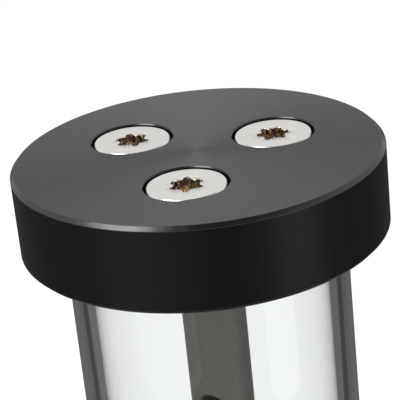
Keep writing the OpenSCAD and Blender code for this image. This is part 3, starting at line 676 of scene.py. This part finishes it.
def clear_glass(name, low, high, cast, painted_dark_bands=False):
    """Clear glass that lets lamp light through. If asked, a painted shade darkens its tint in bands near
    the tube's edges, standing in for dark surroundings seen through the wall.
    """
    material, tree, shader = surface(name, ior=1.472)
    shader.inputs["Transmission Weight"].default_value = 1
    haze = noise(tree, spot(tree, scale=(1, 1, 0.2)), 0.12, 2)
    tint = blend_colours(tree, haze, cast, tuple(min(1, c * 1.012) for c in cast))
    if painted_dark_bands:
        # Painted shade and painted reflection: dark, then grey-brown bands in the tint where the wall is
        # seen nearly edge-on.
        edge_on = wire(tree, "ShaderNodeLayerWeight", {"Blend": 0.5})
        bands = ramp(tree, edge_on.outputs["Facing"], (
            (0.0, (1, 1, 1)), (0.595, (1, 1, 1)), (0.612, (0.12, 0.12, 0.13)), (0.664, (0.10, 0.10, 0.11)),
            (0.680, (0.62, 0.60, 0.57)), (0.745, (0.66, 0.64, 0.61)), (0.765, (1, 1, 1)), (1.0, (1, 1, 1))))
        both = wire(tree, "ShaderNodeMix", {"data_type": "RGBA", "blend_type": "MULTIPLY", 0: 1.0})
        tree.links.new(tint, both.inputs[6])
        tree.links.new(bands, both.inputs[7])
        tint = both.outputs[2]
    feed(tree, shader, base_color=tint, roughness=spread(tree, haze, low, high))
    path = wire(tree, "ShaderNodeLightPath")
    through = wire(tree, "ShaderNodeBsdfTransparent", {"Color": (0.9, 0.92, 0.92, 1)})
    mix = wire(tree, "ShaderNodeMixShader", (),
               {0: path.outputs["Is Shadow Ray"], 1: shader.outputs[0], 2: through.outputs[0]})
    tree.links.new(mix.outputs[0], tree.nodes["Material Output"].inputs["Surface"])
    return material


def glass_finish(centre, normal):
    """0 for the outside, 1 for the bore, 2 for the ground ends."""
    if abs(normal.z) > 0.3:
        return 2
    return 0 if centre.xy.length > glass_r - 1 else 1


glass_tint = (0.952, 0.964, 0.96)
finish_faces(glass, [clear_glass("borosilicate", 0.0, 0.004, glass_tint, painted_dark_bands=True),
                     clear_glass("glass_bore", 0.0, 0.004, glass_tint),
                     clear_glass("ground_end", 0.4, 0.5, (0.9, 0.92, 0.92))], glass_finish)
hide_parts("glass_tube")
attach(glass, "reservoir")


# ---- Riser ----
# A satin stainless tube down the middle carries the returning coolant up. It is
# polished lengthways with fine grit, and a deburred hole near the top lets it out.

riser_low, riser_high = (c.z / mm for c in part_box("riser"))
riser_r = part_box("riser")[1].x / mm
riser_bore = riser_r - 1.5
outflow_z = cap_top - 62.5
outflow_angle = 255
outflow_r, outflow_flare_r = 3.5, 3.5 + 1.2
riser = place("riser_tube", lathe("riser_tube", [
    (riser_bore, riser_low + 0.3), (riser_bore + 0.3, riser_low), (riser_r - 0.3, riser_low),
    (riser_r, riser_low + 0.3), (riser_r, riser_high - 0.3), (riser_r - 0.3, riser_high),
    (riser_bore + 0.3, riser_high), (riser_bore, riser_high - 0.3)], 192, closed=True))
drill = lathe("drill", [
    (0, -10), (outflow_flare_r, -10), (outflow_flare_r, -riser_r - 0.1), (outflow_r, -riser_r + 1.1),
    (outflow_r, riser_r - 1.1), (outflow_flare_r, riser_r + 0.1), (outflow_flare_r, 10), (0, 10)], 64)
drill.transform(Matrix.Rotation(radians(90), 4, "Y"))
cut_away(riser, [place("drill", drill, (0, 0, outflow_z), outflow_angle)])
polish(riser)


def satin_steel(name):
    """Stainless steel polished along its length: fine upright lines and slight staining."""
    material, tree, shader = surface(name, metallic=1.0)
    x, y, z = wire(tree, "ShaderNodeSeparateXYZ", (), {0: spot(tree)}).outputs
    round_it = result(tree, "ARCTAN2", y, x)
    along = wire(tree, "ShaderNodeCombineXYZ", (), {
        "X": result(tree, "MULTIPLY", round_it, riser_r * 9.0), "Y": result(tree, "MULTIPLY", z, 0.5)})
    hair = noise(tree, along.outputs[0], 1.0, 4, 0.6)
    stain = noise(tree, spot(tree, scale=(1, 1, 0.5)), 0.25, 4)
    feed(tree, shader,
         base_color=blend_colours(tree, stain, (0.49, 0.455, 0.425), (0.57, 0.535, 0.505)),
         roughness=spread(tree, hair, 0.26, 0.34),
         normal=relief(tree, hair, 0.0012, 0.6))
    return material


riser.data.materials.append(satin_steel("satin_steel"))
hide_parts("riser")
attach(riser, "reservoir")


# ---- Gaskets and O-rings ----
# Flat gaskets cushion the ends of the glass, and black O-rings seal its bore, the
# riser, the plugs and the pump. All are moulded EPDM rubber with a powdery bloom.


def rubber(name, bloom=0.5):
    """Moulded black rubber, dull, with a faint grey bloom."""
    material, tree, shader = surface(name, roughness=0.6, ior=1.45)
    cloud = noise(tree, spot(tree), 0.45, 4)
    grain = noise(tree, spot(tree), 9, 2)
    dusty = 0.012 + 0.02 * bloom
    feed(tree, shader,
         base_color=blend_colours(tree, cloud, (0.009, 0.009, 0.009), (dusty, dusty, dusty)),
         roughness=spread(tree, grain, 0.5, 0.72),
         normal=relief(tree, grain, 0.02, 0.35))
    return material


def fine_copy(node, angle=32):
    """A smooth-shaded copy of a CAD node's mesh, which then stands for the node."""
    loose = frame["nodes"][node].data
    mesh = bpy.data.meshes.new(node + "_fine")
    mesh.from_pydata([tuple(v.co) for v in loose.vertices], [], [tuple(p.vertices) for p in loose.polygons])
    form = bmesh.new()
    form.from_mesh(mesh)
    bmesh.ops.remove_doubles(form, verts=form.verts, dist=0.002 * mm)
    form.to_mesh(mesh)
    form.free()
    piece = place(node + "_fine", mesh)
    polish(piece, angle)
    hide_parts(node)
    for body, nodes in frame["record"]["behaviour"]["bodies"].items():
        if node in nodes:
            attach(piece, body)
    return piece


seal_rubber = rubber("seal_rubber")
for node in ("cap_gasket", "base_gasket", "cap_glass_seal", "base_glass_seal", "upper_riser_seal",
             "lower_riser_seal", "pump_seal", "plug_seal_left", "plug_seal_right", "plug_seal_front"):
    fine_copy(node).data.materials.append(seal_rubber)


# ---- Base ----
# One turned and milled block of black acetal: the glass groove and bowl on top,
# the hub on its three arms inside, the two coolant ports, and the pump's chamber.

base = fine_copy("base_body")


def base_finish(centre, normal):
    """0 for faces turned level, 1 for the sides, 2 for the chamfers."""
    outer = centre.xy.length > body_r - 1
    if outer and 0.1 < abs(normal.z) < 0.96:
        return 2
    return 0 if abs(normal.z) > 0.9 else 1


finish_faces(base, [acetal_face, acetal_side, acetal_edge], base_finish)

seat_x = body_r - 2.5
port_thread_l, port_lead = 8.3, 1.2
outlet_z, inlet_z = 58.5, 74.5
for name, z, way in (("outlet_thread", outlet_z, 0), ("inlet_thread", inlet_z, 180)):
    mesh = tapped(name, 6.2, 0)
    mesh.transform(Matrix.Rotation(radians(way), 4, "Z")
                   @ Matrix.Translation(Vector((seat_x - port_thread_l - port_lead, 0, z)) * mm)
                   @ Matrix.Rotation(radians(90), 4, "Y"))
    thread = place(name, mesh)
    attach(thread, "reservoir")


# ---- Pump shroud ----
# A drum of aluminium, bead-blasted and anodised black, closes the base. Milled
# slots let the motor's heat out, except where the cable leaves at the back.

shroud_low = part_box("pump_shroud")[0].z / mm
shroud_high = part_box("pump_shroud")[1].z / mm
shroud_bore = 38.5
floor_t = 4.0
slot_z = shroud_low + floor_t + 19
slot_l, slot_w = 22, 3
mount_circle, mount_r = 30.0, 2.1
foot_circle, foot_hole_r = 33.0, 2.55
screw_z = shroud_high - 3
cable_z = (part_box("cable_grommet")[0].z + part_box("cable_grommet")[1].z) / 2 / mm


def black_anodised(name):
    """Bead-blasted aluminium anodised black: an even, fine, slightly sparkling grain."""
    material, tree, shader = surface(name, ior=1.5)
    shader.inputs["Specular IOR Level"].default_value = 0.45
    grain = noise(tree, spot(tree), 7, 3, 0.6)
    cloud = noise(tree, spot(tree), 0.05, 3)
    feed(tree, shader,
         base_color=blend_colours(tree, cloud, (0.010, 0.010, 0.011), (0.017, 0.017, 0.0185)),
         roughness=spread(tree, grain, 0.42, 0.6),
         normal=relief(tree, grain, 0.012, 0.5))
    return material


slot_tree, given, made = node_group("air_slots", {
    "Finish": ("Material", None), "Places": ("Int", 30), "Cutter": ("Object", None),
    "Plain middle": ("Float", 90.0), "Plain half width": ("Float", 16.0)})
places = wire(slot_tree, "GeometryNodePoints", (), {"Count": given.outputs["Places"]})
index = wire(slot_tree, "GeometryNodeInputIndex")
step = result(slot_tree, "DIVIDE", 360.0, given.outputs["Places"])
heading = result(slot_tree, "MULTIPLY", index.outputs[0], step)
off_plain = result(slot_tree, "ABSOLUTE",
                   result(slot_tree, "SUBTRACT", heading, given.outputs["Plain middle"]))
kept = result(slot_tree, "GREATER_THAN", off_plain, given.outputs["Plain half width"])
spin = wire(slot_tree, "ShaderNodeCombineXYZ", (), {"Z": result(slot_tree, "RADIANS", heading)})
cutter = wire(slot_tree, "GeometryNodeObjectInfo", (), {"Object": given.outputs["Cutter"]})
ring_of = wire(slot_tree, "GeometryNodeInstanceOnPoints", (),
               {"Points": places.outputs[0], "Selection": kept, "Instance": cutter.outputs["Geometry"],
                "Rotation": spin.outputs[0]})
loose = wire(slot_tree, "GeometryNodeRealizeInstances", (), {"Geometry": ring_of.outputs[0]})
slotted = wire(slot_tree, "GeometryNodeMeshBoolean", {"operation": "DIFFERENCE", "solver": "EXACT"},
               {"Mesh 1": given.outputs["Geometry"], "Mesh 2": loose.outputs[0]})
finish_tree(slot_tree, slotted.outputs[0], given, made)


def slot_cutter():
    """The shape that mills one slot: round ends, and a small chamfer where it meets the outside."""
    straight, half = (slot_l - slot_w) / 2, slot_w / 2
    form = bmesh.new()
    rows = []
    for x, wider in ((shroud_bore - 0.6, 0.0), (body_r - 0.25, 0.0),
                     (body_r + 0.25, 0.5), (body_r + 0.6, 0.5)):
        row = []
        for end in (1, -1):
            for k in range(13):
                a = pi * k / 12 if end == 1 else pi + pi * k / 12
                r = half + wider
                z = slot_z + end * straight + r * sin(a)
                row.append(form.verts.new((x * mm, r * cos(a) * mm, z * mm)))
        rows.append(row)
    for low, high in zip(rows, rows[1:]):
        for i in range(len(low)):
            j = (i + 1) % len(low)
            form.faces.new((low[i], low[j], high[j], high[i]))
    form.faces.new(list(reversed(rows[0])))
    form.faces.new(rows[-1])
    return place("slot_cutter", outward(form, "slot_cutter"))


shroud = place("shroud", lathe("shroud", eased([
    (25, shroud_low + 0.3), (25.3, shroud_low), (body_r - 0.8, shroud_low, 0.15),
    (body_r, shroud_low + 0.8, 0.15), (body_r, shroud_high - 0.4),
    (body_r - 0.4, shroud_high), (shroud_bore, shroud_high),
    (shroud_bore, shroud_low + floor_t, 0.6), (25, shroud_low + floor_t)]), 240, closed=True))
knives = []
for quarter in range(4):
    a = radians(90 * quarter)
    knives.append(place("drill", lathe("drill", [
        (0, shroud_low - 1), (mount_r + 0.4, shroud_low - 1), (mount_r + 0.4, shroud_low - 0.1),
        (mount_r, shroud_low + 0.3), (mount_r, shroud_low + floor_t + 1),
        (0, shroud_low + floor_t + 1)], 48),
        (mount_circle * cos(a), mount_circle * sin(a), 0)))
    a = radians(45 + 90 * quarter)
    knives.append(place("drill", lathe("drill", [
        (0, shroud_low - 1), (foot_hole_r, shroud_low - 1), (foot_hole_r, shroud_low + floor_t + 1),
        (0, shroud_low + floor_t + 1)], 48), (foot_circle * cos(a), foot_circle * sin(a), 0)))
    sink = lathe("drill", [(0, -2), (2.75, -2), (2.75, 0.2), (1.55, 1.55), (1.55, 6), (0, 6)], 48)
    sink.transform(Matrix.Rotation(radians(-90), 4, "Y"))
    sink.transform(Matrix.Translation((body_r * mm, 0, screw_z * mm)))
    knives.append(place("drill", sink, turn=45 + 90 * quarter))
lead = lathe("drill", [(0, -6), (3.7, -6), (3.7, 3), (4.9, 3), (4.9, 8), (0, 8)], 64)
lead.transform(Matrix.Rotation(radians(90), 4, "Y"))
lead.transform(Matrix.Translation(((body_r - 4.3) * mm, 0, cable_z * mm)))
knives.append(place("drill", lead, turn=90))
cut_away(shroud, knives)
cutter_piece = slot_cutter()
grow(shroud, slot_tree, Finish=black_anodised("black_anodised"), Cutter=cutter_piece)
bpy.data.objects.remove(cutter_piece)
polish(shroud)
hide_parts("pump_shroud")
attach(shroud, "reservoir")


# ---- Screws ----
# Plated hexagon-socket screws: six cap screws hold the clamp ring, four flat
# screws hold the back cover, and four more fix the shroud round its top.

ring_tree, given, made = node_group("ring_of_parts", {
    "Finish": ("Material", None), "Count": ("Int", 4), "First angle": ("Float", 45.0),
    "Circle radius": ("Float", 0.0), "Height": ("Float", 0.0)})
step = result(ring_tree, "DIVIDE", 360.0, given.outputs["Count"])
index = wire(ring_tree, "GeometryNodeInputIndex")
turned = result(ring_tree, "MULTIPLY", index.outputs[0], step)
heading = result(ring_tree, "ADD", turned, given.outputs["First angle"])
spin = wire(ring_tree, "ShaderNodeCombineXYZ", (), {"Z": result(ring_tree, "RADIANS", heading)})
offset = wire(ring_tree, "ShaderNodeCombineXYZ", (),
              {"X": given.outputs["Circle radius"], "Z": given.outputs["Height"]})
moved = wire(ring_tree, "GeometryNodeTransform", (),
             {"Geometry": given.outputs["Geometry"], "Translation": offset.outputs[0]})
places = wire(ring_tree, "GeometryNodePoints", (), {"Count": given.outputs["Count"]})
copies = wire(ring_tree, "GeometryNodeInstanceOnPoints", (),
              {"Points": places.outputs[0], "Instance": moved.outputs[0], "Rotation": spin.outputs[0]})
finish_tree(ring_tree, copies.outputs[0], given, made)


def hexagon(across_flats):
    """Radius of a hexagon at an angle."""
    return lambda a: across_flats / 2 / cos((a % (pi / 3)) - pi / 6)


def knurled(radius):
    """Radius of a head with a fine straight knurl."""
    return lambda a: radius - 0.09 * (0.5 + 0.5 * cos(a * 36))


def plated_steel(name):
    """Zinc-plated steel: bright, cool, finely mottled."""
    material, tree, shader = surface(name, metallic=1.0)
    cloud = noise(tree, spot(tree), 1.1, 4)
    feed(tree, shader,
         base_color=blend_colours(tree, cloud, (0.46, 0.465, 0.475), (0.62, 0.625, 0.635)),
         roughness=spread(tree, cloud, 0.2, 0.38))
    return material


plating = plated_steel("plated_steel")


def cap_screw(name, d, grip, head_r):
    """A knurled cap screw that points up, the underside of its head at z = 0."""
    head = d * 0.9
    return lathe(name, [
        (0, -head + d * 0.55), (hexagon(d * 0.75), -head + d * 0.5), (hexagon(d * 0.75), -head + 0.15),
        (hexagon(d * 0.75 + 0.25), -head), (head_r - 0.35, -head), (head_r - 0.1, -head + 0.12),
        (knurled(head_r), -head + 0.4), (knurled(head_r), -0.25), (head_r - 0.1, 0), (d / 2, 0),
        (d / 2, grip - 0.5), (d / 2 - 0.5, grip), (0, grip)], 144)


def flat_screw(name, d, length):
    """A countersunk screw that points up, the face of its head at z = 0."""
    head = d * 0.45
    return lathe(name, [
        (0, head * 0.85), (hexagon(d * 0.5), head * 0.8), (hexagon(d * 0.5), 0.1),
        (hexagon(d * 0.5 + 0.16), 0), (d * 0.9 - 0.1, 0), (d * 0.9, 0.08), (d / 2, head),
        (d / 2, length - 0.3), (d / 2 - 0.3, length), (0, length)], 96)


clamp_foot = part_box("clamp_ring")[0].z / mm
clamp_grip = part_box("clamp_screws")[1].z / mm - clamp_foot
clamp_circle, cover_circle = 34.75, 23.2
screws = place("clamp_screws_fine", cap_screw("clamp_screws_fine", 4, clamp_grip, 3.4))
grow(screws, ring_tree, Finish=plating, Count=6, First_angle=30.0, Circle_radius=clamp_circle * mm,
     Height=clamp_foot * mm)
polish(screws)
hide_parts("clamp_screws")
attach(screws, "reservoir")

cover_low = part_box("back_cover")[0].z / mm
cover_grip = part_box("cover_screws")[1].z / mm - cover_low
screws = place("cover_screws_fine", flat_screw("cover_screws_fine", 2.4, cover_grip))
grow(screws, ring_tree, Finish=plating, Circle_radius=cover_circle * mm, Height=cover_low * mm)
polish(screws)
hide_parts("cover_screws")
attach(screws, "reservoir")

mesh = flat_screw("shroud_screws_fine", 3, 8)
mesh.transform(Matrix.Rotation(radians(-90), 4, "Y"))
screws = place("shroud_screws_fine", mesh)
grow(screws, ring_tree, Finish=plating, Circle_radius=(body_r - 0.2) * mm, Height=screw_z * mm)
polish(screws)
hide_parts("shroud_screws")
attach(screws, "reservoir")


# ---- Rubber feet ----
# Four moulded feet are pushed through the shroud's floor and snap behind it. Their
# soles carry two grip rings.

foot_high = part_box("rubber_feet")[1].z / mm
feet = place("feet", lathe("feet", eased([
    (0, 0.25), (1.6, 0.25), (1.9, 0.02), (2.5, 0.02), (2.8, 0.25), (3.7, 0.25), (4.0, 0), (4.9, 0),
    (5.5, 0.35, 0.15), (5.5, shroud_low - 0.2), (5.3, shroud_low), (2.5, shroud_low), (2.5, 6.05),
    (3.1, 6.05), (2.1, foot_high), (0, foot_high)]), 64))
grow(feet, ring_tree, Finish=rubber("foot_rubber", 0.9), Circle_radius=foot_circle * mm)
polish(feet)
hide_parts("rubber_feet")
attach(feet, "reservoir")


# ---- Cable gland and grommet ----
# Moulded rubber bushes carry the pump's cable through its housing and the shroud.

for node in ("cable_gland", "cable_grommet"):
    fine_copy(node).data.materials.append(seal_rubber)


# ---- Clamp ring ----
# A machined aluminium ring presses the pump up against its seal.


def machined(name):
    """Bare aluminium as it leaves the lathe: level rings and a bright satin."""
    material, tree, shader = surface(name, metallic=1.0, anisotropic=0.5)
    rings = lines(tree, radius_of(tree), 3)
    cloud = noise(tree, spot(tree), 0.2, 3)
    feed(tree, shader,
         base_color=blend_colours(tree, cloud, (0.58, 0.59, 0.60), (0.68, 0.69, 0.70)),
         roughness=spread(tree, rings, 0.24, 0.4),
         normal=relief(tree, rings, 0.004, 0.7))
    return material


fine_copy("clamp_ring").data.materials.append(machined("machined_aluminium"))


# ---- Pump housing, separator and back cover ----
# The dry side is moulded in glass-filled plastic. Its skin is faintly cloudy where
# the short fibres lie near the surface.


def moulded(name, dark, pale, gloss=0.34, grain=0.01):
    """Moulded plastic with fibres near its skin, a soft sheen and a fine spark-eroded grain."""
    material, tree, shader = surface(name, ior=1.52)
    fibres = noise(tree, spot(tree, scale=(1, 1, 2.2)), 1.6, 5, 0.65)
    skin = noise(tree, spot(tree), 6, 2)
    feed(tree, shader,
         base_color=blend_colours(tree, fibres, dark, pale),
         roughness=spread(tree, fibres, gloss, gloss + 0.16),
         normal=relief(tree, skin, grain, 0.5))
    return material


black_nylon = moulded("black_nylon", (0.014, 0.014, 0.016), (0.032, 0.032, 0.035))
fine_copy("pump_housing").data.materials.append(black_nylon)
fine_copy("separator_can").data.materials.append(
    moulded("separator_plastic", (0.022, 0.021, 0.022), (0.045, 0.042, 0.040), 0.3))
fine_copy("back_cover").data.materials.append(black_nylon)


# ---- Speed dial ----
# A red dial in the back cover sets the pump's speed. Plain numbers from 1 to 5 are
# pad-printed round it on the cover, where they show through the shroud's floor.

dial = fine_copy("speed_dial")
dial.data.materials.append(moulded("red_nylon", (0.42, 0.022, 0.016), (0.56, 0.04, 0.03), 0.28, 0.006))
print_ink, ink_tree, ink = surface("print_ink", ior=1.45)
patch = noise(ink_tree, spot(ink_tree), 3, 3)
feed(ink_tree, ink, base_color=blend_colours(ink_tree, patch, (0.62, 0.62, 0.6), (0.78, 0.78, 0.76)),
     roughness=spread(ink_tree, patch, 0.4, 0.6))
for i in range(5):
    label = bpy.data.curves.new("number", "FONT")
    label.body = str(i + 1)
    label.size = 3.4 * mm
    label.align_x, label.align_y = "CENTER", "CENTER"
    label.extrude = 0.04 * mm
    holder = show("number", label)
    bpy.context.view_layer.update()
    mesh = bpy.data.meshes.new_from_object(holder.evaluated_get(bpy.context.evaluated_depsgraph_get()))
    bpy.data.objects.remove(holder)
    # Face down and upright seen from outside, on a circle round the dial
    mesh.transform(Matrix.Rotation(radians(120 - 60 * i), 4, "Z")
                   @ Matrix.Translation((12 * mm, 0, (cover_low - 0.03) * mm))
                   @ Matrix.Rotation(radians(90), 4, "Z") @ Matrix.Rotation(pi, 4, "Y"))
    number = place("number_%d" % (i + 1), mesh)
    number.data.materials.append(print_ink)
    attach(number, "reservoir")


# ---- Rotor ----
# A ferrite magnet and its carbon bush carry a closed impeller of pale plastic.
# They turn together round a fixed ceramic shaft.

fine_copy("impeller").data.materials.append(
    moulded("natural_plastic", (0.60, 0.57, 0.50), (0.70, 0.67, 0.60), 0.3, 0.008))
fine_copy("rotor_magnet").data.materials.append(
    moulded("ferrite", (0.045, 0.047, 0.05), (0.085, 0.088, 0.092), 0.42, 0.03))
fine_copy("rotor_bush").data.materials.append(
    moulded("carbon", (0.018, 0.018, 0.02), (0.04, 0.04, 0.043), 0.22, 0.006))
white_ceramic = moulded("ceramic", (0.74, 0.73, 0.69), (0.80, 0.79, 0.76), 0.12, 0.002)
for node in ("rotor_shaft", "thrust_washer"):
    fine_copy(node).data.materials.append(white_ceramic)


# ---- Stator and electronics ----
# Stacked steel sheets with six enamelled copper coils stand round the separator,
# over a green control board and the dial's potentiometer.


def height_wave(tree, pitch):
    """A saw-tooth up and down with the height, from 0 to 1 over half the pitch in mm."""
    height = wire(tree, "ShaderNodeSeparateXYZ", (), {0: spot(tree)}).outputs["Z"]
    wave = result(tree, "PINGPONG", height, pitch / 2)
    return result(tree, "DIVIDE", wave, pitch / 2)


def laminations(name):
    """A stack of half-millimetre steel sheets seen on their edges."""
    material, tree, shader = surface(name, metallic=1.0)
    edge = spread(tree, height_wave(tree, 0.5), 0.0, 1.0, 0.0, 0.3)
    cloud = noise(tree, spot(tree), 0.8, 3)
    feed(tree, shader,
         base_color=blend_colours(tree, edge, (0.05, 0.05, 0.055), (0.34, 0.35, 0.37)),
         roughness=spread(tree, cloud, 0.3, 0.5),
         normal=relief(tree, edge, 0.05, 0.8))
    return material


def copper_wire(name):
    """Enamelled copper wire laid in rows: round strands 0.4 mm apart, with painted shade in the gaps
    between them.
    """
    material, tree, shader = surface(name, metallic=1.0)
    strand = result(tree, "POWER", height_wave(tree, 0.4), 0.5)
    cloud = noise(tree, spot(tree), 0.7, 3)
    # Painted shade: the colour darkens towards the gaps between strands.
    feed(tree, shader,
         base_color=blend_colours(tree, strand, (0.16, 0.035, 0.01), (0.60, 0.20, 0.07)),
         roughness=spread(tree, cloud, 0.22, 0.36),
         normal=relief(tree, strand, 0.12, 0.9))
    return material


def circuit_board(name):
    """Green solder mask over copper tracks, a little glossy."""
    material, tree, shader = surface(name, ior=1.5)
    tracks = wire(tree, "ShaderNodeTexVoronoi", {"feature": "DISTANCE_TO_EDGE", "Scale": 0.5},
                  {"Vector": spot(tree)})
    run = spread(tree, tracks.outputs[0], 1.0, 0.0, 0.03, 0.09)
    weave = noise(tree, spot(tree), 3, 2)
    feed(tree, shader,
         base_color=blend_colours(tree, run, (0.008, 0.075, 0.030), (0.03, 0.17, 0.06)),
         roughness=spread(tree, weave, 0.25, 0.4),
         normal=relief(tree, run, 0.03, 0.6))
    return material


fine_copy("stator_core").data.materials.append(laminations("laminations"))
fine_copy("stator_windings").data.materials.append(copper_wire("copper_wire"))
fine_copy("control_board").data.materials.append(circuit_board("circuit_board"))
fine_copy("dial_potentiometer").data.materials.append(
    moulded("blue_nylon", (0.02, 0.06, 0.20), (0.035, 0.09, 0.28), 0.3, 0.006))
